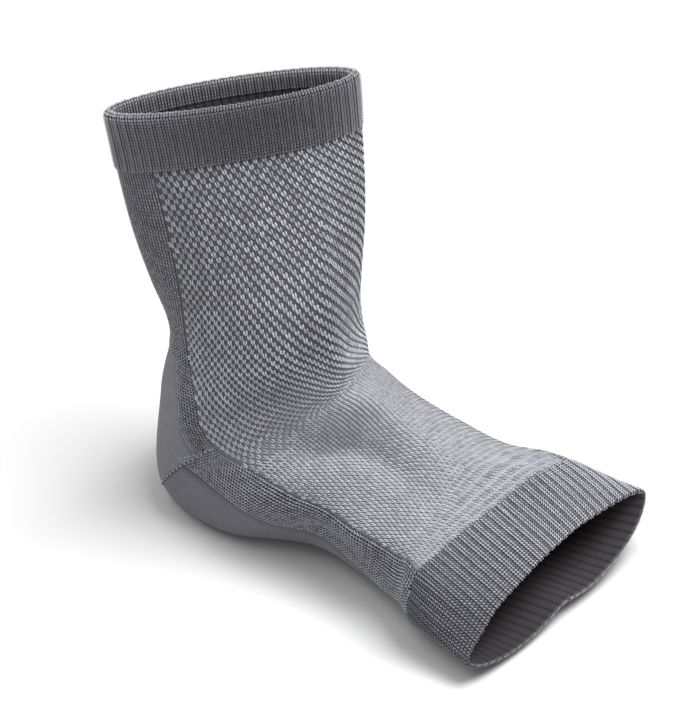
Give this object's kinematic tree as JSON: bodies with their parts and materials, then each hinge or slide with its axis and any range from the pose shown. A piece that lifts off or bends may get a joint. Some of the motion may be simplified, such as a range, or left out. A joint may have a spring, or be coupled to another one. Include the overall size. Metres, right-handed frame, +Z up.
{
  "type": "heel sleeve",
  "caption": "Knitted open-toe heel and ankle sleeve with ribbed ankle and toe cuffs, a two-tone mesh instep panel and a shaped heel pocket, standing empty on its sole.",
  "frame": {"origin": "middle of the bounding box, on the floor that the sole stands on", "axes": "+Z up the leg, -Y towards the open toe, -X towards the wearer's right"},
  "size_m": [0.0938, 0.1772, 0.1638],
  "materials": {
    "cuff_rib": "matt ribbed knit, dark grey",
    "mesh_knit": "matt bird's-eye knit, light grey stitches over dark grey",
    "plain_knit": "matt plain knit, dark grey",
    "heel_knit": "matt fine knit, mid grey",
    "toe_rib": "matt ribbed knit, mid grey"
  },
  "bodies": {
    "root": {"ankle_cuff": "cuff_rib", "mesh_panel": "mesh_knit", "back_panel": "plain_knit", "heel_cup": "heel_knit", "sole_panel": "plain_knit", "toe_cuff": "toe_rib"}
  },
  "joints": []
}
